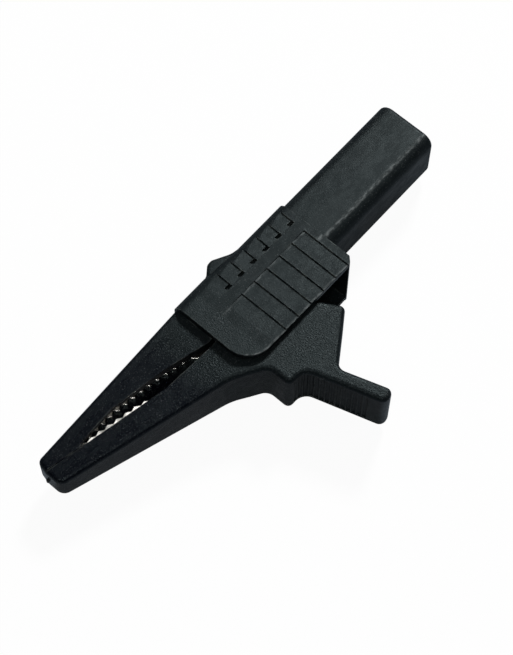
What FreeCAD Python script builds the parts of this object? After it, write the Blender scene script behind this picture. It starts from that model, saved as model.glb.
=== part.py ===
import FreeCAD
import Part
import math
import os

from FreeCAD import Vector

# Insulated crocodile clip with a 4 mm plug socket, in millimetres.
# The origin is the mouth of the contact sleeve. +X leaves that mouth, so the jaws lie
# towards -X. +Y is the side of the finger ridge, and the grip hangs towards -Y. Z is the
# thickness, and the clip is the same on both sides of Z = 0.
# A station is a distance ahead of the housing's rear end, counted towards the jaw tip.

# Rear housing and the socket inside it
housing_length = 28.5
housing_width = 12.0
housing_corner = 2.4
housing_end_round = 0.9
plug_shroud_bore = 4.3
plug_shroud_depth = 20.8
contact_recess = 2.3
contact_bore = 2.0
contact_wall = 0.5
contact_depth = 20.5
contact_flange_radius = 3.4
contact_flange_thickness = 0.8
insert_radius = 3.3
insert_recess = 1.1
insert_flange = 1.5
bulkhead_thickness = 3.6

# Ribbed collar with its two cheeks
collar_length = 27.1
collar_half = 7.3
collar_step = 0.1
collar_brow = 6.6
collar_brow_ahead = 19.5
collar_rise_ahead = 12.0
collar_rise_round = 6.0
collar_bottom = -11.0
collar_top_round = 2.4
cheek_wall = 1.3
cheek_front_radius = 5.0
cheek_corner_round = 0.4
cheek_rear_cut = 1.0
rear_web = 1.3
pocket_corner_y = -4.4
pocket_corner_round = 1.0
ridge_top = 8.0
ridge_peak_ahead = 16.7
ridge_back_length = 3.9
ridge_back_round = 4.0
ridge_front_length = 2.1
ridge_front_round = 0.9
ridge_half = 6.2
ridge_round = 0.7
rib_count = 6
rib_pitch = 3.27
rib_border = 1.45
rib_depth = 0.24
notch_depth = 0.8
notch_length = 1.2
notch_width = 0.7
spine_low = -0.8
spine_high = 1.45

# Jaws, seen from the side and from above
nose_length = 35.8
nose_back_y = 6.35
nose_tip_y = 5.8
nose_tip_round = 1.2
nose_tip_lean = 0.6
upper_tip_back = 0.05
tip_half = 3.0
seam_tip_y = 3.45
lens_knee_ahead = 11.6
lens_knee_y = -2.1
lens_front_back = 7.0
lens_front_rise = 0.5
lens_front_y = 2.3
lens_front_round = 0.3
lens_peak_back = 15.3
lens_peak_y = 2.45
lens_peak_round = 3.0
lens_bend_back = 26.1
lens_bend_y = 0.4
lens_bend_round = 8.0
lens_root_y = -2.1
lens_root_inside = 1.0
lens_root_round = 2.0
jaw_bottom_tip_y = -0.15
jaw_bottom_root_y = -9.45
jaw_root_ahead = 3.3
jaw_root_round = 12.0
lower_tip_round = 1.9
shell_wall = 1.15
edge_round = 0.9

# Grip below the pivot, measured from the pivot
nub_ahead = 4.9
nub_drop = 17.7
nub_neck_drop = 3.5
nub_neck_round = 2.3
nub_round = 1.1
nub_length = 3.7
nub_heel_round = 2.6
grip_reach = 32.2
grip_end_back = 3.35
grip_end_round = 1.4
grip_thickness = 2.85
grip_end_slant = 0.7
grip_back_round = 1.2
grip_heel_back = 3.0
grip_heel_drop = 21.8
grip_heel_round = 1.6
grip_rib_pitch = 1.0
grip_rib_count = 14
grip_rib_radius = 0.42
grip_rib_depth = 0.26
rear_corner_drop = 15.2
rear_corner_round = 1.1
lever_neck_ahead = 3.0
lever_neck_y = -2.85
lever_brow_ahead = 1.2
lever_brow_y = -2.95
knee_round = 1.5

# Pivot, spring and stamped jaws
pivot_back = 7.3
pin_radius = 1.25
pin_bite = 0.55
boss_radius = 3.5
open_angle = 24.0
ledge_rib = 1.3
sheet = 0.8
web_bend_ahead = 2.0
web_bend_y = 5.25
web_cover = 0.85
tail_bend_ahead = 2.5
bush_wall = 0.32
wire_radius = 0.4
coil_turns = 4
coil_gap = 0.06
leg_length = 9.0
jaw_front_back = 2.4
lower_jaw_rear_back = 3.5
ear_wall = 1.35
upper_jaw_root_y = -1.2
lower_jaw_root_y = -3.1
ear_root_ahead = 2.0
ear_root_back = 0.6
tail_overlap = 1.0
tab_border = 0.2
tab_bend_round = 0.7
tooth_pitch = 1.75
tooth_height = 0.9
upper_row_back = 2.8
lower_row_back = 9.5
first_tooth_back = 1.35
bite_peak_y = 3.81
bite_peak_back = 13.1
bite_arch_radius = 67.0
lower_bite_drop = 0.12

# Contact screw and its washer
screw_shank = 1.2
screw_head_radius = 2.2
screw_head_height = 1.5
screw_length = 5.0
screw_slot = 0.6
washer_thickness = 0.6
screw_room_length = 10.0

# Cutting shapes run past the faces they open by the first length, and clear of the whole part by the second
past = 2.0
beyond = 60.0

# Clearances
running_gap = 0.05
fixed_gap = 0.02
screw_clearance = 0.4
hole_gap = 0.1
lip_gap = 0.3
seat_gap = 0.05
side_gap = 0.25
seam_gap = 0.12
swing_gap = 0.35
hub_room = 0.5
coil_play = 0.08
coil_side_gap = 0.15
layer_gap = 0.1

# Values that follow from the sizes above
collar_back = housing_length
collar_front = housing_length + collar_length
tip = collar_front + nose_length
pivot_station = collar_front - pivot_back
nose_root = pivot_station + 1.0
lever_half = collar_half - cheek_wall - side_gap
pocket_half = collar_half - cheek_wall
collar_top = housing_width / 2 + collar_step
taper = (lever_half - tip_half) / nose_length
knee = collar_front + lens_knee_ahead
seam_slope = (seam_tip_y - lens_knee_y) / (tip - knee)
bottom_root = collar_front + jaw_root_ahead
bottom_slope = (jaw_bottom_tip_y - jaw_bottom_root_y) / (tip - bottom_root)
bush_radius = pin_radius + running_gap + bush_wall
coil_radius = bush_radius + coil_play + wire_radius
coil_outer = coil_radius + wire_radius
coil_pitch = 2 * wire_radius + coil_gap
coil_half = (coil_turns + 0.5) * coil_pitch / 2 + wire_radius
upper_inner = coil_half + coil_side_gap
upper_outer = upper_inner + sheet
lower_inner = upper_outer + layer_gap
lower_outer = lower_inner + sheet
hollow_half = lower_outer + layer_gap
ledge = -(coil_outer + fixed_gap)
tail_y = coil_outer + seat_gap
tail_top = tail_y + sheet
bulkhead_back = plug_shroud_depth + insert_flange
bulkhead_front = bulkhead_back + bulkhead_thickness + contact_flange_thickness
tab_front = bulkhead_front + sheet
sleeve_outer = contact_bore + contact_wall
lower_ear = pin_radius + ear_wall
upper_ear = coil_outer - layer_gap
front_stop = tip - jaw_front_back
first_upper_tooth = front_stop - first_tooth_back
first_lower_tooth = first_upper_tooth + tooth_pitch / 2
upper_teeth = 1 + int((first_upper_tooth - collar_front - upper_row_back) / tooth_pitch)
lower_teeth = 1 + int((first_lower_tooth - collar_front - lower_row_back) / tooth_pitch)

# The lever's rear corner swings up between the cheeks and stops short of the rear web
swing_room = collar_length - pivot_back - rear_web - 2 * swing_gap
opened = math.radians(open_angle)
rear_corner_back = (swing_room - rear_corner_drop * math.sin(opened)) / math.cos(opened)


def place(station, y, z=0.0):
    return Vector(contact_recess - station, y, z)


def rounded_wire(corners):
    """Closed outline from (station, y, radius) corners, each rounded by a tangent arc."""
    points = [place(station, y) for station, y, radius in corners]
    turns = []
    for i, (station, y, radius) in enumerate(corners):
        here = points[i]
        if radius == 0:
            turns.append((here, None, here))
            continue
        back = (points[i - 1] - here).normalize()
        ahead = (points[(i + 1) % len(points)] - here).normalize()
        half = back.getAngle(ahead) / 2
        reach = radius / math.tan(half)
        inward = (back + ahead).normalize() * (radius / math.sin(half) - radius)
        turns.append((here + back * reach, here + inward, here + ahead * reach))
    edges = []
    for i, (start, middle, end) in enumerate(turns):
        if middle is not None:
            edges.append(Part.Arc(start, middle, end).toShape())
        following = turns[(i + 1) % len(turns)][0]
        if end.distanceToPoint(following) > 1e-6:
            edges.append(Part.LineSegment(end, following).toShape())
    return Part.Wire(edges)


def slab(corners, half):
    """Outline extruded to the same distance on both sides of Z = 0."""
    face = Part.Face(rounded_wire(corners))
    face.translate(Vector(0, 0, -half))
    return face.extrude(Vector(0, 0, 2 * half))


def disc(station, y, radius, half):
    return Part.makeCylinder(radius, 2 * half, place(station, y, -half))


def rod(station_from, station_to, radius):
    """Round bar along the socket's axis, between two stations."""
    return Part.makeCylinder(radius, station_to - station_from, place(station_to, 0), Vector(1, 0, 0))


def jaw_half(station):
    return lever_half - taper * max(station - collar_front, 0)


def plan(inset, widest):
    """Wedge seen along Y: the jaws' taper set in by a wall, and no wider than a given half width."""
    full = min(widest, lever_half - inset)
    bend = collar_front + (lever_half - inset - full) / taper
    far = tip + past
    near = -past
    narrow = jaw_half(far) - inset
    side = [(near, full), (bend, full), (far, narrow)]
    points = [place(s, -beyond, z) for s, z in side] + [place(s, -beyond, -z) for s, z in reversed(side)]
    face = Part.Face(Part.makePolygon(points + points[:1]))
    return face.extrude(Vector(0, 2 * beyond, 0))


def edges_where(shape, test):
    return [edge for edge in shape.Edges if test(edge)]


def on_flank(edge):
    """True for an edge that runs along one of the two broad sides of a jaw or the lever."""
    middle = edge.CenterOfMass
    ends = [vertex.Point for vertex in edge.Vertexes]
    if abs(middle.z) < 1:
        return False
    return all(abs(abs(p.z) - jaw_half(contact_recess - p.x)) < 0.02 for p in ends)


def seam(station):
    """Height of the straight line where the two shells meet."""
    return seam_tip_y - seam_slope * (tip - station)


def floor(station):
    """Inner floor of the lever's hollow, one wall above its lower edge."""
    return jaw_bottom_tip_y + shell_wall * 1.05 - bottom_slope * (tip - station)


def upper_pitch_line(station):
    """Middle height of the upper teeth, on a long arch."""
    back = tip - bite_peak_back - station
    return bite_peak_y - back * back / (2 * bite_arch_radius)


def lower_pitch_line(station):
    """Middle height of the lower teeth, a little below the seam."""
    return seam(station) - lower_bite_drop


# The rear edge of the lever is tangent to its pivot boss. Along it run the unit vectors
# "down" (away from the boss) and "out" (square to the edge, away from the lever).
corner = place(pivot_station - rear_corner_back, -rear_corner_drop)
pivot = place(pivot_station, 0)
reach = corner - pivot
reach_angle = math.atan2(reach.y, reach.x)
out_angle = reach_angle + math.acos(boss_radius / reach.Length)
out = Vector(math.cos(out_angle), math.sin(out_angle), 0)
down = Vector(math.sin(out_angle), -math.cos(out_angle), 0)


def rear_point(offset, along, radius=0.0):
    """Corner given by its distance outwards from the pivot and along the rear edge."""
    point = pivot + out * offset + down * along
    return (contact_recess - point.x, point.y, radius)


def make_collar():
    """Thick ribbed block between the housing and the nose."""
    outline = [
        (collar_front, collar_brow, 0),
        (collar_front, collar_bottom, cheek_front_radius),
        (collar_back + cheek_rear_cut, collar_bottom, cheek_corner_round),
        (collar_back, collar_bottom + cheek_rear_cut, cheek_corner_round),
        (collar_back, collar_top, 0),
        (collar_back + collar_rise_ahead, collar_top, collar_rise_round),
        (collar_back + collar_brow_ahead, collar_brow, collar_rise_round),
    ]
    block = slab(outline, collar_half)

    def on_top(edge):
        low = min(vertex.Point.y for vertex in edge.Vertexes)
        lengthwise = abs(edge.Vertexes[0].Point.x - edge.Vertexes[-1].Point.x) > 1
        return low > collar_top - 0.01 and lengthwise and abs(edge.CenterOfMass.z) > 1

    block = block.makeFillet(collar_top_round, edges_where(block, on_top))
    rows = [
        (collar_bottom - past, spine_low, rib_depth, rib_pitch, 0),
        (spine_high, collar_top + past, rib_depth, rib_pitch, 0),
        (spine_high, spine_high + notch_width, notch_depth, notch_length, notch_depth),
    ]
    for side in (1, -1):
        for row in rows:
            block = block.cut([saw_cut(i, side, *row) for i in range(rib_count)])
    return block


def saw_cut(index, side, low, high, depth, length, end_depth):
    """Cut ahead of one rib's step, between two heights, from one depth to another."""
    step = collar_back + rib_border + index * rib_pitch
    points = [
        place(step, low, side * (collar_half + past)),
        place(step, low, side * (collar_half - depth)),
        place(step + length, low, side * (collar_half - end_depth)),
        place(step + length, low, side * (collar_half + past)),
    ]
    face = Part.Face(Part.makePolygon(points + points[:1]))
    return face.extrude(Vector(0, high - low, 0))


def make_ridge():
    """Finger ridge across the collar's top edge, with a blunt front and a long back."""
    peak = collar_back + ridge_peak_ahead
    front = peak + ridge_front_length
    back = peak - ridge_back_length
    outline = [
        (front + 1.2, collar_brow - 1.5, 0),
        (front + 1.2, collar_brow - 0.4, 0),
        (front, collar_brow + 0.05, ridge_front_round),
        (peak + 0.5, ridge_top - 0.1, 0.9),
        (peak - 0.6, ridge_top, 1.0),
        (back, collar_top + 0.15, ridge_back_round),
        (back - 3.6, collar_top - 0.5, 0),
        (back - 3.6, collar_top - 1.5, 0),
    ]
    ridge = slab(outline, ridge_half)

    def raised(edge):
        low = min(vertex.Point.y for vertex in edge.Vertexes)
        return low > collar_top - 0.6 and abs(edge.CenterOfMass.z) > ridge_half - 0.1

    return ridge.makeFillet(ridge_round, edges_where(ridge, raised))


def make_housing():
    """Square rear housing with rounded corners, running on into the collar."""
    half = housing_width / 2
    front = collar_back + past
    block = Part.makeBox(front, housing_width, housing_width, place(front, -half, -half))

    def lengthwise(edge):
        return abs(edge.Vertexes[0].Point.x - edge.Vertexes[-1].Point.x) > 1

    block = block.makeFillet(housing_corner, edges_where(block, lengthwise))

    def at_mouth(edge):
        return edge.CenterOfMass.x > contact_recess - 0.01

    return block.makeFillet(housing_end_round, edges_where(block, at_mouth))


def make_nose():
    """Upper jaw's shell, tapered from above as well as from the side."""
    outline = [
        (tip - nose_tip_lean, nose_tip_y, nose_tip_round),
        (tip - upper_tip_back, seam(tip) + seam_gap / 2, 0),
        (tip - lens_front_back, seam(tip - lens_front_back) + seam_gap / 2, 0),
        (tip - lens_front_back - lens_front_rise, lens_front_y, lens_front_round),
        (tip - lens_peak_back, lens_peak_y, lens_peak_round),
        (tip - lens_bend_back, lens_bend_y, lens_bend_round),
        (collar_front + lens_root_inside, lens_root_y, lens_root_round),
        (nose_root, lens_root_y, 0),
        (nose_root, nose_back_y, 0),
    ]
    shell = slab(outline, collar_half).common(plan(0, collar_half))

    def outer(edge):
        middle = edge.CenterOfMass
        ahead = middle.x < contact_recess - collar_front
        return on_flank(edge) and ahead and (middle.y > nose_tip_y - 0.3 or middle.x < contact_recess - tip + 1)

    return shell.makeFillet(edge_round, edges_where(shell, outer))


def lever_pocket():
    """Room between the cheeks for the lever's sides, at rest and fully open."""
    pocket_radius = boss_radius + swing_gap
    outline = [
        (collar_back + rear_web, collar_bottom - past, 0),
        (collar_back + rear_web, pocket_corner_y, pocket_corner_round),
        (pivot_station - pocket_radius * 0.52, pocket_radius * 0.87, 0),
        (pivot_station, 0, 0),
        (nose_root, lens_root_y, 0),
        (collar_front + lens_root_inside, lens_root_y, 0),
        (collar_front + lens_root_inside, collar_bottom - past, 0),
    ]
    return slab(outline, pocket_half).fuse(disc(pivot_station, 0, pocket_radius, pocket_half))


def web_line(lift):
    """Upper side of the stamped upper jaw, from its tip back to its tail."""
    return [
        (front_stop, nose_tip_y - web_cover + lift, 0),
        (collar_front + web_bend_ahead, web_bend_y + lift, 0),
        (pivot_station + tail_bend_ahead, tail_top + lift, 0),
    ]


def jaw_channel():
    """Slot in the body for the upper jaw, its tail and the contact screw."""
    screw_room = -(screw_head_radius + screw_clearance)
    below = collar_bottom - past
    outline = [(front_stop + seat_gap, below, 0)]
    outline += [(s + (seat_gap if s == front_stop else 0), y, r) for s, y, r in web_line(seat_gap)]
    outline += [
        (bulkhead_front, tail_top + seat_gap, 0),
        (bulkhead_front, screw_room, 0),
        (collar_back + screw_room_length, screw_room, 0),
        (collar_front, below, 0),
    ]
    return slab(outline, upper_outer + seat_gap).common(plan(shell_wall, upper_outer + seat_gap))


def make_body_shell():
    body = make_collar().fuse([make_ridge(), make_housing(), make_nose()])
    body = body.cut([lever_pocket(), jaw_channel()])
    body = body.cut([
        rod(-past, bulkhead_back, plug_shroud_bore),
        rod(bulkhead_back - past, bulkhead_back + contact_flange_thickness, contact_flange_radius + fixed_gap),
        rod(bulkhead_back, bulkhead_front + past, sleeve_outer + fixed_gap),
        disc(pivot_station, 0, pin_radius + fixed_gap, pocket_half + pin_bite + seat_gap),
    ])
    return body.removeSplitter()


def make_socket_insert():
    """Insulating tube that holds the contact and covers its mouth with a lip."""
    tube = rod(insert_recess, bulkhead_back, insert_radius)
    tube = tube.fuse(rod(plug_shroud_depth, bulkhead_back, plug_shroud_bore - fixed_gap))
    tube = tube.cut(rod(contact_recess, bulkhead_back + past, sleeve_outer + fixed_gap))
    return tube.cut(rod(0, contact_recess + past, contact_bore + lip_gap))


def make_contact_sleeve():
    """Turned socket: blind 4 mm bore, a flange behind the bulkhead and a tapped end."""
    sleeve = rod(contact_recess, bulkhead_front, sleeve_outer)
    flange = rod(bulkhead_back, bulkhead_back + contact_flange_thickness, contact_flange_radius)
    sleeve = sleeve.fuse(flange)
    sleeve = sleeve.cut(rod(contact_recess - past, contact_recess + contact_depth, contact_bore))
    depth = screw_length - washer_thickness - sheet + hole_gap
    return sleeve.cut(rod(bulkhead_front - depth, bulkhead_front + past, screw_shank + running_gap))


def zigzag(pitch_line, first, count, direction):
    """Tooth line from the tip backwards. direction is +1 for teeth that point up."""
    low, high = -tooth_height / 2, tooth_height / 2
    points = []
    for i in range(count):
        peak = first - i * tooth_pitch
        gullet = peak - tooth_pitch / 2
        points.append((peak, pitch_line(peak) + direction * high, 0))
        points.append((gullet, pitch_line(gullet) + direction * low, 0))
    return points


def make_upper_jaw():
    """Stamped channel with teeth, pivot ears and a tail bent down onto the contact."""
    teeth = zigzag(upper_pitch_line, first_upper_tooth, upper_teeth, -1)
    gullet = first_upper_tooth + tooth_pitch / 2
    outline = [
        (front_stop, upper_pitch_line(front_stop), 0),
        (gullet, upper_pitch_line(gullet) + tooth_height / 2, 0),
    ]
    outline += teeth
    outline += [
        (collar_front + lens_root_inside, upper_jaw_root_y, 0),
        (pivot_station + ear_root_ahead, upper_jaw_root_y, 0),
        (pivot_station, 0, 0),
        (pivot_station - tail_overlap, tail_y, 0),
        (pivot_station - tail_overlap, tail_top, 0),
    ]
    outline += list(reversed(web_line(0)))
    jaw = slab(outline, upper_outer).fuse(disc(pivot_station, 0, upper_ear, upper_outer))
    under_web = [(s + (past if s == front_stop else 0), y - sheet, r) for s, y, r in web_line(0)]
    behind = pivot_station - boss_radius - past
    inside = [(front_stop + past, -beyond, 0)] + under_web
    inside += [(behind, tail_y, 0), (behind, -beyond, 0)]
    jaw = jaw.common(plan(shell_wall + seat_gap, upper_outer))
    jaw = jaw.cut(slab(inside, upper_inner).common(plan(shell_wall + seat_gap + sheet, upper_inner)))
    tail = Part.makeBox(pivot_station - bulkhead_front, sheet, 2 * upper_inner,
                        place(pivot_station, tail_y, -upper_inner))
    tab_low = -(screw_head_radius + tab_border)
    tab = Part.makeBox(sheet, tail_top - tab_low, 2 * upper_inner, place(tab_front, tab_low, -upper_inner))
    bend = tail.fuse(tab).removeSplitter()

    def outer_bend(edge):
        middle = edge.CenterOfMass
        return abs(middle.z) < 0.01 and middle.y > tail_top - 0.01 and middle.x > contact_recess - tab_front

    bend = bend.makeFillet(tab_bend_round, edges_where(bend, outer_bend))
    jaw = jaw.fuse(bend)
    jaw = jaw.cut(rod(bulkhead_front - past, tab_front + past, screw_shank + hole_gap))
    jaw = jaw.cut(disc(pivot_station, 0, pin_radius + fixed_gap, collar_half))
    return jaw.removeSplitter()


def make_lower_jaw():
    """Stamped channel with teeth and pivot ears, seated on the lever's floor."""
    teeth = zigzag(lower_pitch_line, first_lower_tooth, lower_teeth, 1)
    rear = collar_front - lower_jaw_rear_back
    outline = [
        (front_stop, floor(front_stop) + seat_gap, 0),
        (front_stop, lower_pitch_line(front_stop), 0),
    ]
    outline += teeth
    outline += [
        (collar_front + lever_brow_ahead, lower_jaw_root_y, 0),
        (pivot_station + ear_root_ahead, lower_jaw_root_y, 0),
        (pivot_station, 0, 0),
        (pivot_station - ear_root_back, lower_jaw_root_y, 0),
        (rear, floor(rear) + seat_gap, 0),
    ]
    jaw = slab(outline, lower_outer).fuse(disc(pivot_station, 0, lower_ear, lower_outer))
    ahead = tip + past
    behind = pivot_station - boss_radius - past
    inside = [
        (ahead, floor(ahead) + seat_gap + sheet, 0),
        (ahead, beyond, 0),
        (behind, beyond, 0),
        (behind, floor(behind) + seat_gap + sheet, 0),
    ]
    jaw = jaw.common(plan(shell_wall + seat_gap, lower_outer))
    jaw = jaw.cut(slab(inside, lower_inner).common(plan(shell_wall + seat_gap + sheet, lower_inner)))
    return jaw.cut(disc(pivot_station, 0, pin_radius + running_gap, collar_half)).removeSplitter()


def lever_outline():
    """Lower jaw, finger nub and grip, ending at the rear edge that meets the boss."""
    nub = pivot_station + nub_ahead
    grip_tip = pivot_station - grip_end_back
    return [
        (tip, seam(tip) - seam_gap / 2, 0),
        (tip, jaw_bottom_tip_y, lower_tip_round),
        (bottom_root, jaw_bottom_root_y, jaw_root_round),
        (nub, jaw_bottom_root_y - nub_neck_drop, nub_neck_round),
        (nub, -nub_drop, nub_round),
        (nub - nub_length, -nub_drop, nub_heel_round),
        (grip_tip, -grip_reach, grip_end_round),
        (grip_tip - grip_thickness, -grip_reach + grip_end_slant, grip_back_round),
        (pivot_station - grip_heel_back, -grip_heel_drop, grip_heel_round),
        rear_point(boss_radius, (corner - pivot).dot(down), rear_corner_round),
        rear_point(boss_radius, 0),
        (pivot_station, 0, 0),
        (pivot_station + lever_neck_ahead, lever_neck_y, 0),
        (collar_front + lever_brow_ahead, lever_brow_y, 0),
        (knee, seam(knee) - seam_gap / 2, knee_round),
    ]


def grip_grooves():
    """Scallops across the grip, spaced evenly along its curved front edge."""
    wire = rounded_wire(lever_outline())
    nub = pivot_station + nub_ahead
    start = contact_recess - (nub - 1.2)
    stations = []
    walked = 0.0
    for edge in wire.Edges:
        first, last = edge.ParameterRange
        steps = max(int(edge.Length / 0.02), 1)
        for i in range(steps):
            t = first + (last - first) * (i + 0.5) / steps
            point = edge.valueAt(t)
            on_grip = point.y < -nub_drop + 0.3 and point.y > -grip_reach + 1.9
            if not on_grip or point.x < start or point.x > contact_recess - (nub - 9):
                continue
            along = edge.tangentAt(t)
            if along.y > 0.2:
                continue
            walked += edge.Length / steps
            if walked >= grip_rib_pitch * (len(stations) + 0.5) and len(stations) < grip_rib_count:
                outward = Vector(along.y, -along.x, 0)
                stations.append(point + outward * (grip_rib_radius - grip_rib_depth))
    half = lever_half - edge_round - 0.1
    return [Part.makeCylinder(grip_rib_radius, 2 * half, p - Vector(0, 0, half)) for p in stations]


def lever_hollow():
    """Trough for the lower jaw, and the spring's slot behind a rib that stands between its sides."""
    front = [
        (front_stop + seat_gap, 16.0, 0),
        (front_stop + seat_gap, floor(front_stop), 0),
        (pivot_station + 2.4, floor(pivot_station + 2.4), 0.8),
        rear_point(ledge - ledge_rib, leg_length, 0.5),
        rear_point(ledge, leg_length - 2),
        rear_point(ledge, 0),
        (pivot_station, 16.0, 0),
    ]
    slot = [
        rear_point(ledge, 0),
        rear_point(ledge, leg_length + 0.6),
        rear_point(boss_radius + 2, leg_length + 0.6),
        rear_point(boss_radius + 2, -6),
        rear_point(ledge, -6),
    ]
    rib = [
        rear_point(ledge - ledge_rib, 0),
        rear_point(ledge - ledge_rib, leg_length + 2),
        rear_point(ledge + 1, leg_length + 2),
        rear_point(ledge + 1, 0),
    ]
    trough = slab(front, hollow_half).common(plan(shell_wall, hollow_half))
    trough = trough.cut(slab(rib, lower_inner - seat_gap))
    around = disc(pivot_station, 0, boss_radius + hub_room, hollow_half)
    return [trough, slab(slot, hollow_half), around]


def make_lever_shell():
    lever = slab(lever_outline(), lever_half).common(plan(0, lever_half))

    def outer(edge):
        middle = edge.CenterOfMass
        station = contact_recess - middle.x
        if not on_flank(edge):
            return False
        if station > collar_front + 1.3:
            return middle.y < seam(station) - 0.6 and middle.y < (seam(tip) if station > tip - 1 else 0)
        return middle.y < -4

    lever = lever.makeFillet(edge_round, edges_where(lever, outer))
    lever = lever.fuse(disc(pivot_station, 0, boss_radius, lever_half))
    gate_mark = Part.makeCylinder(0.25, 0.9, place(tip + 0.2, seam(tip) - 0.5, -0.45))
    lever = lever.fuse(gate_mark)
    lever = lever.cut(grip_grooves())
    lever = lever.cut(lever_hollow())
    lever = lever.cut(disc(pivot_station, 0, pin_radius + running_gap, collar_half))
    return lever.removeSplitter()


def make_pivot_pin():
    half = pocket_half + pin_bite
    pin = disc(pivot_station, 0, pin_radius, half)
    return pin.makeChamfer(0.2, edges_where(pin, lambda edge: abs(edge.CenterOfMass.z) > half - 0.01))


def make_spacer_bush():
    half = upper_inner - seat_gap
    return disc(pivot_station, 0, bush_radius, half).cut(
        disc(pivot_station, 0, pin_radius + running_gap, half + 1))


def make_spring():
    """Coil around the bush with one leg under the jaw's tail and one on the lever's ledge."""
    start_angle = 90.0
    leave_angle = math.degrees(math.atan2(-out.y, -out.x)) % 360
    turns = coil_turns - 1 + (leave_angle - start_angle) / 360
    height = turns * coil_pitch
    low = -height / 2
    helix = Part.makeHelix(coil_pitch, height, coil_radius)
    helix.rotate(Vector(0, 0, 0), Vector(0, 0, 1), start_angle)
    helix.translate(pivot + Vector(0, 0, low))
    begin = helix.Vertexes[0].Point
    finish = helix.Vertexes[-1].Point
    leg_end = begin + Vector(leg_length, 0, 0)
    leg_one = Part.LineSegment(leg_end, begin).toShape()
    leg_two = Part.LineSegment(finish, finish + down * leg_length).toShape()
    section = Part.Wire(Part.makeCircle(wire_radius, leg_end, Vector(1, 0, 0)))
    return Part.Wire([leg_one] + helix.Edges + [leg_two]).makePipeShell([section], True, True)


def make_contact_screw():
    head_back = tab_front + washer_thickness
    head = rod(head_back, head_back + screw_head_height, screw_head_radius)
    rim = edges_where(head, lambda edge: edge.CenterOfMass.x < contact_recess - head_back - 1)
    head = head.makeFillet(0.5, [edge for edge in rim if edge.Length > 5 and len(edge.Vertexes) == 1])
    slot = Part.makeBox(0.7, 8, screw_slot, place(head_back + screw_head_height, -4, -screw_slot / 2))
    shank = rod(head_back - screw_length, head_back + 0.2, screw_shank)
    return head.cut(slot).fuse(shank).removeSplitter()


def make_lock_washer():
    """Split spring washer, drawn pressed flat."""
    ring = rod(tab_front, tab_front + washer_thickness, screw_head_radius - 0.1)
    ring = ring.cut(rod(tab_front - 1, tab_front + 2, screw_shank + 0.1))
    split = Part.makeBox(2, 3, 0.4, place(tab_front + 1.5, 0, -0.2))
    return ring.cut(split)


builders = {
    "body_shell": make_body_shell,
    "socket_insert": make_socket_insert,
    "contact_sleeve": make_contact_sleeve,
    "upper_jaw": make_upper_jaw,
    "contact_screw": make_contact_screw,
    "lock_washer": make_lock_washer,
    "pivot_pin": make_pivot_pin,
    "spacer_bush": make_spacer_bush,
    "torsion_spring": make_spring,
    "lever_shell": make_lever_shell,
    "lower_jaw": make_lower_jaw,
}

os.makedirs("parts", exist_ok=True)
for name, build in builders.items():
    shape = build()
    shape.exportStep("parts/" + name + ".step")
    box = shape.BoundBox
    print(name, "solids", len(shape.Solids), "valid", shape.isValid(), "volume", round(shape.Volume, 1),
          "x", round(box.XMin, 2), round(box.XMax, 2), "y", round(box.YMin, 2), round(box.YMax, 2),
          "z", round(box.ZMin, 2), round(box.ZMax, 2))
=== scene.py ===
# %% [markdown]
# An insulated crocodile clip has two black mouldings, with nickel-plated jaws and a spring
# between them. Its shape comes from the imported model, in metres. This script gives each piece
# its finish, and adds the small things that only the eye needs. The model's box is kept first,
# so that the white sheet can be laid just below it.

# %% The imported clip
import math

import bmesh
import bpy
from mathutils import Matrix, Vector


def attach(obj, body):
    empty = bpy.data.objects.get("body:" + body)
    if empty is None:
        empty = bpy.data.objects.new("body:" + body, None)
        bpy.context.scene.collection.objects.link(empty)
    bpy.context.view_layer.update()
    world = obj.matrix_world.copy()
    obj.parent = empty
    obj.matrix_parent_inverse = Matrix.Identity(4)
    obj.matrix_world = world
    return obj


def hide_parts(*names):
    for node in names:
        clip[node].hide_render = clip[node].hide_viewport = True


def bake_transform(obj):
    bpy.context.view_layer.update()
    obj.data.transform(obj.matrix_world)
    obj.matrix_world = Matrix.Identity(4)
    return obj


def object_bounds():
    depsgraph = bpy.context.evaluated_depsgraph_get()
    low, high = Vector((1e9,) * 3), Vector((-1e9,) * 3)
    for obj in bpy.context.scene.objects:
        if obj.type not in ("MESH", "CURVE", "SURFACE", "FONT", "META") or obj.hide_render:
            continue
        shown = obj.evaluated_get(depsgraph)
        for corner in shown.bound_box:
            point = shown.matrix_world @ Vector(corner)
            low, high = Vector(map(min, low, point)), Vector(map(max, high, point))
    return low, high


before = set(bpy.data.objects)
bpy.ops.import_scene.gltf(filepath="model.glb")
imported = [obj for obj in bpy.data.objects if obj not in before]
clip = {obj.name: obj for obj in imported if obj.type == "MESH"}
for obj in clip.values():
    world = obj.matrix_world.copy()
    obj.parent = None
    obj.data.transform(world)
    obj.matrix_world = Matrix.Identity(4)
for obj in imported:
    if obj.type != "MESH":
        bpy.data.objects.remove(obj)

MM = 0.001
cad_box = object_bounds()
print("nodes:", ", ".join(sorted(clip)))

# %% [markdown]
# The photograph looks down on the clip from the side of its jaws. A camera is easiest to
# understand as a point that it looks at, a direction, a distance and a lens, so those four are
# the values here. The focal length in pixels comes from how fast the clip shrinks towards its
# far end. A 36 mm sensor along the picture's long side turns it into a lens.

# %% Camera
PICTURE_HEIGHT = 655
FOCAL_PIXELS = 1900
SENSOR = 36.0
NEAREST_SEEN = 0.01
aim = Vector((-44.70, -4.74, 0)) * MM
distance = 332.5 * MM
elevation = math.radians(65.62)
heading = math.radians(-48.65)


def direction(turn, rise):
    """Unit vector from the clip, at an angle round from -Y and an angle above the floor."""
    return Vector((math.sin(turn) * math.cos(rise), -math.cos(turn) * math.cos(rise), math.sin(rise)))


def face_the_clip(thing):
    """Turns a camera or a lamp, which both look along their own -Z, towards the aim."""
    thing.rotation_euler = (aim - thing.location).to_track_quat("-Z", "Y").to_euler()


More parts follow.
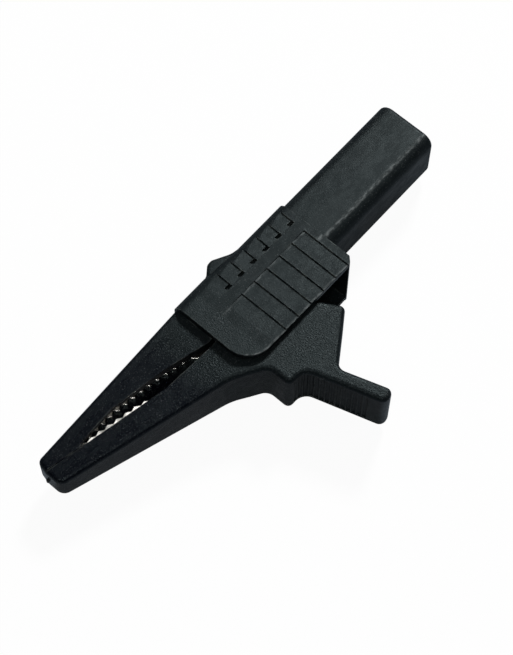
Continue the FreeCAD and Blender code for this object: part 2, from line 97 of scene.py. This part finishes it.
camera = bpy.data.objects.new("camera", bpy.data.cameras.new("camera"))
bpy.context.scene.collection.objects.link(camera)
camera.data.sensor_width = SENSOR
camera.data.lens = FOCAL_PIXELS * SENSOR / PICTURE_HEIGHT
camera.data.clip_start = NEAREST_SEEN
camera.location = aim + direction(heading, elevation) * distance
face_the_clip(camera)
bpy.context.scene.camera = camera
print("lens", round(camera.data.lens, 1), "mm, at", [round(v / MM, 1) for v in camera.location])

# %% [markdown]
# A shader is a small sum: a mask times a colour, plus some grain. Built node by node, such a sum
# fills a page. Python can write it in one line if a socket knows how to add and multiply, so a
# short class wraps each socket. The operators also work with the number first, as in 1 - mask.

# %% Sockets that can be added and multiplied


class Signal:
    """A shader socket that behaves like a number."""

    def __init__(self, network, socket):
        self.network = network
        self.socket = socket

    def math(self, operation, *others):
        inputs = dict(enumerate((self,) + others))
        return self.network.node("Math", {"operation": operation}, inputs)

    def __add__(self, other):
        return self.math("ADD", other)

    def __mul__(self, other):
        return self.math("MULTIPLY", other)

    def __sub__(self, other):
        return self.math("SUBTRACT", other)

    def __rsub__(self, other):
        return self.math("MULTIPLY_ADD", -1.0, other)

    __radd__ = __add__
    __rmul__ = __mul__

    def between(self, low, high):
        """0 at the low value, 1 at the high one, and a smooth slope between them."""
        settings = {"interpolation_type": "SMOOTHSTEP", "clamp": True}
        return self.network.node("MapRange", settings, {"Value": self, "From Min": low, "From Max": high})

    def near(self, place, reach, core=0.0):
        """1 within the core's distance of a place, and 0 from the reach on."""
        return (self - place).math("ABSOLUTE").between(reach, core)


# %% [markdown]
# Materials, the paper and the sky all need nodes. They could be added by hand, each with its own
# lines. Here one method makes every node: it sets the node up before it fills in its sockets,
# because some sockets only appear with the right setting.

# %% Networks of nodes


class Network:
    """Shader nodes under construction, in a material or in the world."""

    def __init__(self, tree):
        self.tree = tree

    def node(self, kind, settings=None, inputs=None, out=0):
        made = self.tree.nodes.new("ShaderNode" + kind)
        for key, value in (settings or {}).items():
            setattr(made, key, value)
        for key, value in (inputs or {}).items():
            self.feed(made.inputs[key], value)
        return Signal(self, made.outputs[out])

    def feed(self, socket, value):
        if isinstance(value, Signal):
            self.tree.links.new(value.socket, socket)
        else:
            socket.default_value = value


# %% [markdown]
# Most finishes share a few patterns: clouds, streaks, rubbed edges and a fine relief. As methods
# of one class they are written once, and their sizes are in millimetres, so that they can be
# compared with the pieces. Rounded edges are only shaded, with the Bevel node, because the
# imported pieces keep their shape.

# %% Finishes


class Finish(Network):
    """A material around one Principled shader."""

    def __init__(self, name):
        self.material = bpy.data.materials.new(name)
        self.material.use_nodes = True
        super().__init__(self.material.node_tree)
        self.shader = self.tree.nodes["Principled BSDF"]
        self.place = self.node("TexCoord", out="Object")

    def set(self, **inputs):
        """Sets the Principled shader's sockets, named with underscores for their spaces."""
        for key, value in inputs.items():
            self.feed(self.shader.inputs[key.replace("_", " ")], value)

    def noise(self, size_mm, detail=2.0, rough=0.5, place=None):
        """Cloudy pattern whose blobs are about as large as the given size."""
        inputs = {"Vector": place or self.place, "Scale": 1 / (size_mm * MM)}
        inputs.update({"Detail": detail, "Roughness": rough})
        return self.node("TexNoise", {}, inputs)

    def along(self, axis):
        """Coordinate in millimetres along X, Y or Z."""
        split = self.node("SeparateXYZ", {}, {0: self.place}, out="XYZ".index(axis))
        return split * (1 / MM)

    def stretched(self, x, y, z):
        """Object coordinates squeezed by a factor along each axis, for streaks."""
        return self.node("Mapping", {}, {"Vector": self.place, "Scale": (x, y, z)})

    def blend(self, amount, low, high):
        """Colour between two, by an amount from 0 to 1. Its sockets share names, so they go by number."""
        return self.node("Mix", {"data_type": "RGBA"}, {0: amount, 6: low, 7: high}, out=2)

    def rounded(self, radius_mm):
        """The surface's normal, as if its edges were rounded."""
        return self.node("Bevel", {"samples": 8}, {"Radius": radius_mm * MM})

    def edges(self, radius_mm):
        """1 on sharp edges and 0 on flat faces, from how far the rounded normal leans."""
        rounded = self.rounded(radius_mm)
        flat = self.node("NewGeometry", out="True Normal")
        match = self.node("VectorMath", {"operation": "DOT_PRODUCT"}, {0: rounded, 1: flat}, out="Value")
        return (1 - match).between(0.02, 0.2)

    def relief(self, height, depth_mm, strength, radius_mm):
        """Bump on top of softly rounded edges."""
        inputs = {"Height": height, "Distance": depth_mm * MM, "Strength": strength}
        inputs["Normal"] = self.rounded(radius_mm)
        return self.node("Bump", {}, inputs)


def rgb(red, green, blue):
    return (red, green, blue, 1.0)


def wear(node, finish):
    """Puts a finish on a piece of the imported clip."""
    clip[node].data.materials.clear()
    clip[node].data.materials.append(finish.material)
    print(node, "wears", finish.material.name)


# %% [markdown]
# The two large mouldings are black glass-filled nylon. Handling has left marks on them, and some
# lighter lines are painted highlights. The marks could be painted by hand on a picture of the
# surface. Here they are worked out from the place along the clip's axes, because they then stay
# sharp at any zoom. The first is the rim of the collar's cheek. It is lighter along the cheek's
# lower edge and round its front corner, partly from rubbing and partly as a painted highlight, so
# the mask needs the distance from that corner's centre.

# %% Rim of the cheek
# Millimetres along the clip's axes. A mask is 0 at the first place of a pair and 1 at the second.
CHEEK_Z = (6.8, 7.1)
CHEEK_LOW_Y = (-7.0, -9.5)
CHEEK_CORNER_X = -48.3
CHEEK_CORNER_Y = -6.0
CHEEK_CORNER_RADIUS = 5.0
RIM_WIDTH = 0.5
RIM_FULL = 0.1


# The rim is lighter partly from rubbing and partly as a painted highlight.
def cheek_rim(nylon):
    """1 along the cheek's lower edge and round its corner, by the distance from the corner's centre."""
    x, y, z = (nylon.along(axis) for axis in "XYZ")
    ahead = (CHEEK_CORNER_X - x).math("MAXIMUM", 0.0)
    below = (CHEEK_CORNER_Y - y).math("MAXIMUM", 0.0)
    reach = (ahead * ahead + below * below).math("SQRT")
    rim = reach.between(CHEEK_CORNER_RADIUS - RIM_WIDTH, CHEEK_CORNER_RADIUS - RIM_FULL)
    return rim * z.between(*CHEEK_Z) * y.between(*CHEEK_LOW_Y)


# The rim's lighter colour is partly wear and partly a painted highlight.
print("the cheek's rim is worn", CHEEK_CORNER_RADIUS, "mm from its corner's centre")

# %% [markdown]
# The other marks follow the axes more simply. The half of the rear housing towards the lever is
# calmer, and the housing, the finger ridge and the ribs' lands are duller. The housing's long
# edge and the spine between the two rows of ribs get painted highlights, lighter like the rim.
# A stretched noise breaks them and the rim into dashes, because an even line would look drawn.

# %% Marks on the black nylon
REAR = (-27.8, -27.2)
CALM_Y = (0.6, 0.0)
RIBS_FRONT = (-49.5, -49.0)
LANDS_Z = (6.6, 6.9)
RIDGE_Y = (4.3, 4.9)
NOSE = (-56.0, -64.0)
LONG_EDGE_Z = (5.0, 5.5)
LONG_EDGE_Y = -3.95
SPINE_Y = -1.05


def body_marks(nylon):
    """Where the body is calmer, duller, rubbed and given painted highlights, and part of the nose."""
    x, y, z = (nylon.along(axis) for axis in "XYZ")
    rear = x.between(*REAR)
    calm = rear * y.between(*CALM_Y)
    ribs = z.between(*LANDS_Z) * (1 - rear) * x.between(*RIBS_FRONT)
    ridge = y.between(*RIDGE_Y) * (1 - rear)
    # Painted highlight along the housing's long edge, drawn in a lighter colour.
    long_edge = rear * z.between(*LONG_EDGE_Z) * y.near(LONG_EDGE_Y, reach=0.55)
    # Painted highlight along the spine between the two rows of ribs.
    spine = ribs * y.near(SPINE_Y, reach=0.3, core=0.05)
    dashes = nylon.noise(0.5, detail=4, place=nylon.stretched(0.45, 1, 1)).between(0.40, 0.68)
    # Painted highlights on the long edge and spine, with the rim that is partly rubbed, partly painted
    # highlight.
    scuffs_and_highlights = (long_edge * 0.8 + spine * 0.4 + cheek_rim(nylon) * 0.7) * (dashes + 0.15)
    return calm, ribs + rear * 0.9 + ridge, scuffs_and_highlights, x.between(*NOSE)


def lever_marks(nylon):
    """The lever has neither rear nor collar, and only its share of the nose."""
    return 0.0, 0.0, 0.0, nylon.along("X").between(*NOSE)


print("the nose's tone starts at", NOSE[0], "mm and is full at", NOSE[1], "mm")

# %% [markdown]
# The nylon's tool was spark-eroded, so the faces have a fine even grain that breaks the light
# into specks. One black and one roughness would be simplest, but black plastic shows its sheen
# more than its colour, and an even sheen looks lifeless. So most of the variety goes into the
# roughness and the grain. The colour stays close to black, with lighter worn edges and specks,
# painted highlights on some edges, and painted shade that makes the nose darker and bluer where
# the tapered jaws turn from the lamp. One function makes the nylon, and the two shells differ
# only in how coarse the grain is, how strong the specks are and where the marks lie.

# %% Black nylon
NYLON_DARK = rgb(0.0020, 0.0032, 0.0040)
NYLON_LIGHT = rgb(0.0040, 0.0062, 0.0070)
# Painted shade: the nose is darker and bluer, as the tapered jaws turn away from the lamp.
NOSE_PAINTED_SHADE = rgb(0.0006, 0.0008, 0.0032)
NYLON_WORN = rgb(0.060, 0.066, 0.062)
# Lighter colour for specks and the rubbed rim, and for painted highlights on the long edge, spine and
# rim.
NYLON_SCUFF_AND_HIGHLIGHT = rgb(0.13, 0.14, 0.14)
NYLON_SHEEN = rgb(0.80, 0.98, 1.00)
NYLON_GLOSS = 0.2
NYLON_ROUGHNESS = 0.31


def black_nylon(name, grain_mm, grain_depth_mm, specks, marks):
    nylon = Finish(name)
    calm, dull, scuffs_and_highlights, nose = marks(nylon)
    cloud = nylon.noise(6.0, detail=3).between(0.35, 0.7)
    mottle = nylon.noise(1.1, detail=5, rough=0.65, place=nylon.stretched(0.5, 1, 1)).between(0.38, 0.62)
    grain = nylon.noise(grain_mm, detail=3, rough=0.7)
    rubbed = nylon.edges(0.5) * nylon.noise(1.8, detail=4).between(0.46, 0.62)
    spark = nylon.noise(grain_mm * 0.8, detail=1).between(0.64, 0.72) * specks

    colour = nylon.blend(cloud, NYLON_DARK, NYLON_LIGHT)
    # Painted shade darkens and blues the nose.
    colour = nylon.blend(nose, colour, NOSE_PAINTED_SHADE)
    colour = nylon.blend(rubbed * 0.9, colour, NYLON_WORN)
    colour = nylon.blend(spark, colour, NYLON_SCUFF_AND_HIGHLIGHT)
    # Rubbed rim, and painted highlights on the long edge, the spine and the rim.
    colour = nylon.blend(scuffs_and_highlights, colour, NYLON_SCUFF_AND_HIGHLIGHT)

    roughness = NYLON_ROUGHNESS + 0.05 * cloud + 0.10 * mottle - 0.06 * rubbed
    roughness = roughness + 0.14 * dull - 0.09 * nose
    height = grain * (1 - 0.6 * calm) * (1 - 0.28 * nose)
    nylon.set(Base_Color=colour, Roughness=roughness)
    nylon.set(Normal=nylon.relief(height, grain_depth_mm, 0.9, radius_mm=0.12))
    nylon.set(Specular_IOR_Level=NYLON_GLOSS, Specular_Tint=NYLON_SHEEN)
    return nylon


wear("body_shell", black_nylon("body_nylon", 0.25, 0.072, 0.35, body_marks))
wear("lever_shell", black_nylon("lever_nylon", 0.29, 0.104, 0.3, lever_marks))

# %% [markdown]
# The socket's insert is a separate, smoother moulding. The cores of its mould were turned, so it
# shows faint rings around the axis, and it has more gloss than the shells. The rings could be
# cut, but a noise that hardly changes across the axis gives them without any geometry.

# %% Socket insert
INSERT_BLACK = rgb(0.008, 0.008, 0.009)
insert = Finish("insert_nylon")
rings = insert.noise(0.5, place=insert.stretched(1, 0.02, 0.02))
insert.set(Base_Color=INSERT_BLACK, Roughness=0.28 + 0.1 * rings)
insert.set(Normal=insert.relief(rings, 0.01, 0.4, radius_mm=0.1))
wear("socket_insert", insert)

# %% [markdown]
# Nickel plate is a bright, slightly warm metal. On the stamped jaws it follows the rolling
# marks of the sheet and is dulled in patches. On the turned sleeve and bush the tool leaves
# fine rings. Both are the same finish, with its pattern drawn out along the sheet or around the
# piece. The teeth could be beveled to catch the light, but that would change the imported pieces,
# so the edges are only shaded as if they were round, and the row of teeth glints at its tips.

# %% Nickel plate
NICKEL = rgb(0.80, 0.78, 0.73)
NICKEL_DULL = rgb(0.55, 0.54, 0.50)


def nickel(name, streaks, round_mm=0.32):
    plate = Finish(name)
    dull = plate.noise(2.5, detail=4).between(0.45, 0.75)
    lines = plate.noise(0.25, detail=2, place=plate.stretched(*streaks))
    plate.set(Base_Color=plate.blend(dull, NICKEL, NICKEL_DULL), Metallic=1.0)
    plate.set(Roughness=0.18 + 0.12 * dull + 0.06 * lines)
    plate.set(Normal=plate.relief(lines, 0.01, 0.35, radius_mm=round_mm))
    return plate


stamped = nickel("stamped_nickel", (0.08, 1, 1))
wear("upper_jaw", stamped)
wear("lower_jaw", stamped)
wear("contact_sleeve", nickel("turned_nickel", (1, 0.03, 0.03)))
wear("spacer_bush", nickel("bush_nickel", (0.03, 0.03, 1)))

# %% [markdown]
# The screw, its washer, the pin and the spring are plain steel. They are greyer than nickel,
# with a darker, oily look in the spring, whose wire shows long drawing marks. The function is
# close to the one for nickel, but steel isn't plated, so it has no dull patches.

# %% Steel
STEEL = rgb(0.56, 0.56, 0.57)
WIRE = rgb(0.34, 0.34, 0.36)
LINE_SHADE = 0.7


def steel(name, colour, rough, streaks):
    bright = Finish(name)
    lines = bright.noise(0.3, detail=3, place=bright.stretched(*streaks))
    shade = rgb(*[part * LINE_SHADE for part in colour[:3]])
    bright.set(Base_Color=bright.blend(lines, colour, shade), Metallic=1.0)
    bright.set(Roughness=rough + 0.15 * lines, Normal=bright.relief(lines, 0.01, 0.4, radius_mm=0.08))
    return bright


fastener_steel = steel("fastener_steel", STEEL, 0.22, (1, 0.1, 0.1))
spring_wire = steel("spring_wire", WIRE, 0.3, (0.2, 0.2, 0.6))
wear("contact_screw", fastener_steel)
wear("lock_washer", fastener_steel)
wear("pivot_pin", steel("pin_steel", STEEL, 0.2, (0.1, 0.1, 1)))
wear("torsion_spring", spring_wire)

# %% [markdown]
# The spring winds up as the lever opens. One leg stays under the upper jaw's tail, the other
# goes with the lever's ledge, and each turn of the coil takes its share of the angle. The packed
# wire keeps its shape at rest. A copy of it stands in here, with its doubled points merged and
# its faces smoothed, and keeps that shape too.

# %% Copy of the spring
SAME_POINT = 1e-7


def add_piece(name, shape):
    """Makes an object at the origin from a shape, and adds it to the scene."""
    mesh = bpy.data.meshes.new(name)
    shape.to_mesh(mesh)
    shape.free()
    piece = bpy.data.objects.new(name, mesh)
    bpy.context.scene.collection.objects.link(piece)
    return piece


coil = bmesh.new()
coil.from_mesh(clip["torsion_spring"].data)
bmesh.ops.remove_doubles(coil, verts=coil.verts, dist=SAME_POINT)
bmesh.ops.recalc_face_normals(coil, faces=coil.faces)
for face in coil.faces:
    face.smooth = True
winding_spring = add_piece("winding_spring", coil)
winding_spring.data.materials.append(spring_wire.material)
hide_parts("torsion_spring")
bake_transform(winding_spring)
print("winding spring:", len(winding_spring.data.vertices), "points")

# %% [markdown]
# The lower jaw's toothed edges show as bright teeth along the lower side of the gap. On the real
# stamping they are pressed a little proud of the plate. Each one is a thin saw-toothed strip,
# level with the plate's outer face. Its height above the lever's own edge tapers at both ends,
# and its teeth are about as wide as those that face them. A saw is simple enough to work out
# point by point, so its outline is a loop, which is then pulled up into a strip.

# %% Outline of the bright edges
TOOTH_PITCH = 1.8
TOOTH_DEPTH = 0.5
STRIP_FOOT = 0.5
# Place along the clip and height above the lever's edge, in millimetres.
STRIP_HEIGHTS = ((-85.0, 0.20), (-84.2, 0.70), (-82.0, 1.00), (-76.0, 1.10), (-70.0, 1.05), (-67.0, 0.50))
# The lever's edge is a straight line, given by its height at one station and by its slope.
STATION = -80
EDGE_HEIGHT = 1.30
EDGE_SLOPE = -0.2297


def lever_edge(x):
    """Height of the lever's edge along the gap, in millimetres."""
    return EDGE_HEIGHT + EDGE_SLOPE * (x - STATION)


def strip_top(x):
    """Height of the teeth's tips, which falls off towards both ends."""
    for (low, first), (high, last) in zip(STRIP_HEIGHTS, STRIP_HEIGHTS[1:]):
        if x <= high:
            return lever_edge(x) + first + (last - first) * (x - low) / (high - low)
    return lever_edge(x)


def saw_outline():
    """Corners of the saw in the middle plane, in millimetres: its crest and two points at its foot."""
    start, end = STRIP_HEIGHTS[0][0], STRIP_HEIGHTS[-1][0]
    steps = int((end - start) / TOOTH_PITCH * 2)
    stations = [start + i * TOOTH_PITCH / 2 for i in range(steps + 1)]
    crest = [(x, strip_top(x) - (i % 2) * TOOTH_DEPTH) for i, x in enumerate(stations)]
    foot = [(x, lever_edge(x) - STRIP_FOOT) for x in (stations[-1], stations[0])]
    return crest + foot


print("the saw has", len(saw_outline()), "corners")

# %% [markdown]
# Both edges come from the same outline, on either side of the middle plane. The strip follows
# the plate's outer face, which leans out towards the pivot, so each point is moved out as far as
# the face is at its own place. The left strip is a mirror image, which turns its faces inwards.
# They are measured afresh first, because otherwise the step that turns them outwards goes by
# their old directions. A small bevel gives the thin edges something to shine with.

# %% Bright edges of the lower jaw
STRIP_THICKNESS = 0.3
STRIP_PROUD = 0.02
STRIP_BEVEL = 0.05
# The plate's outer face is straight too, with this distance from the middle plane at the station.
PLATE_FACE = 2.50
PLATE_SLOPE = 0.077
pressed_edge = nickel("pressed_edge_nickel", (0.08, 1, 1), round_mm=0.06)


def plate_face(x):
    """Distance of the lower jaw's outer face from the middle plane, in millimetres."""
    return PLATE_FACE + PLATE_SLOPE * (x - STATION)


def bite_edge(name, side):
    shape = bmesh.new()
    outline = shape.faces.new([shape.verts.new((x, y, 0)) for x, y in saw_outline()])
    wall = bmesh.ops.extrude_face_region(shape, geom=[outline])["geom"]
    raised = [v for v in wall if isinstance(v, bmesh.types.BMVert)]
    bmesh.ops.translate(shape, verts=raised, vec=(0, 0, STRIP_THICKNESS))
    for vert in shape.verts:
        vert.co.z = side * (vert.co.z - STRIP_THICKNESS + STRIP_PROUD + plate_face(vert.co.x))
    shape.normal_update()
    bmesh.ops.recalc_face_normals(shape, faces=shape.faces)
    bmesh.ops.bevel(shape, geom=shape.edges, offset=STRIP_BEVEL, affect="EDGES", segments=1,
                    profile=0.5, material=-1)
    volume = shape.calc_volume(signed=True)
    bmesh.ops.scale(shape, verts=shape.verts, vec=(MM, MM, MM))
    strip = add_piece(name, shape)
    strip.data.materials.append(pressed_edge.material)
    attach(strip, "lever")
    print(name, "has", len(strip.data.polygons), "faces around", round(volume, 2), "cubic mm")


bite_edge("bite_edge_right", 1)
bite_edge("bite_edge_left", -1)

# %% [markdown]
# The clip lies on a white sheet that runs on behind it. The sheet is a flat floor just below the
# collar's lower face. Lit from above, it would need so much light to turn white that the clip
# would wash out. So to the camera it glows, but for a small part that is still a plain lit
# surface, and that part carries the clip's shadow. Gloss sees a small share of the glow on top of
# a greyer sheet. With the whole of it the black sides would turn grey, which they aren't.

# %% White sheet
FLOOR_WHITE = rgb(0.96, 0.96, 0.96)
FLOOR_GREY = rgb(0.24, 0.29, 0.34)
WHITE = rgb(1, 1, 1)
FLOOR_SIZE = 6.0
FLOOR_GAP = 0.02 * MM
FLOOR_GLOW = 0.95
FLOOR_GLOW_IN_GLOSS = 0.1


def white_share(network, to_camera, in_gloss):
    """How much plain white a ray sees: one share for the camera's rays, another in gloss and glass."""
    camera_ray, glossy_ray, glass_ray = (network.node("LightPath", out=f"Is {kind} Ray")
                                         for kind in ("Camera", "Glossy", "Transmission"))
    return (camera_ray * to_camera + (glossy_ray + glass_ray) * in_gloss).math("MINIMUM", to_camera)


sheet = bmesh.new()
bmesh.ops.create_grid(sheet, x_segments=1, y_segments=1, size=FLOOR_SIZE / 2)
bmesh.ops.translate(sheet, verts=sheet.verts, vec=(0, 0, cad_box[0].z - FLOOR_GAP))
floor = add_piece("floor", sheet)
paper = Finish("white_paper")
seen = paper.node("LightPath", out="Is Camera Ray")
paper.set(Base_Color=paper.blend(seen, FLOOR_GREY, FLOOR_WHITE), Roughness=0.9, Specular_IOR_Level=0.0)
share = white_share(paper, FLOOR_GLOW, FLOOR_GLOW_IN_GLOSS)
lit = Signal(paper, paper.shader.outputs[0])
glow = paper.node("Emission", {}, {"Color": WHITE, "Strength": 1.0})
paper.feed(paper.tree.nodes["Material Output"].inputs["Surface"],
           paper.node("MixShader", {}, {0: share, 1: lit, 2: glow}))
floor.data.materials.append(paper.material)
print("floor at", round(floor.data.vertices[0].co.z / MM, 2), "mm")

# %% [markdown]
# The light is plain and soft, and comes from a round lamp beyond the rear housing, to the right
# of the picture. The flat faces shine in it, and the tapered jaws turn away from it and stay
# darker. One wide lamp overhead would be simpler, but it would give every black face the same
# sheen. A second lamp sends its light down into the gap, where the teeth mirror it, and two faint
# ones pick out the long edge and the lower row of teeth. A lamp's size sets how soft its shadow
# is, and its power how bright, so both are values here.

# %% Lamps


def lamp(name, turn, rise, reach, size, power):
    """Round lamp that faces the clip: two angles in degrees, reach and size in metres, power in watts."""
    light = bpy.data.lights.new(name, "AREA")
    light.shape = "DISK"
    light.size = size
    light.energy = power
    stand = bpy.data.objects.new(name, light)
    bpy.context.scene.collection.objects.link(stand)
    stand.location = aim + direction(math.radians(turn), math.radians(rise)) * reach
    face_the_clip(stand)
    print(name, "of", power, "W at", [round(v, 2) for v in stand.location])


lamp("key_lamp", 110, 44, 1.2, 0.22, 13.0)
lamp("glint_lamp", -60, 63, 1.5, 0.3, 4.2)
lamp("edge_lamp", 32, 46, 1.2, 0.25, 0.8)
lamp("teeth_lamp", 168, 72, 1.2, 0.2, 0.25)

# %% [markdown]
# The sky fills in what the lamps leave dark. One bright sky would do for a pale object, but it
# turns black plastic grey. So it is dim and slightly blue on the clip and white to the camera,
# and gloss sees only a small share of that white, as with the sheet. The view transform stays
# plain, so that a colour shows about as it is written.

# %% Sky
SKY_DIM = rgb(0.80, 0.92, 1.0)
SKY_LEVEL = 0.04
SKY_WHITE_IN_GLOSS = 0.04
world = bpy.data.worlds.new("sky")
world.use_nodes = True
bpy.context.scene.world = world
sky = Network(world.node_tree)
background = sky.tree.nodes["Background"]
sky.feed(background.inputs["Color"], SKY_DIM)
sky.feed(background.inputs["Strength"], SKY_LEVEL)
dim = Signal(sky, background.outputs[0])
white = sky.node("Background", {}, {"Color": WHITE, "Strength": 1.0})
share = white_share(sky, 1.0, SKY_WHITE_IN_GLOSS)
sky.feed(sky.tree.nodes["World Output"].inputs["Surface"],
         sky.node("MixShader", {}, {0: share, 1: dim, 2: white}))
bpy.context.scene.view_settings.view_transform = "Standard"
print("sky:", len(sky.tree.nodes), "nodes")
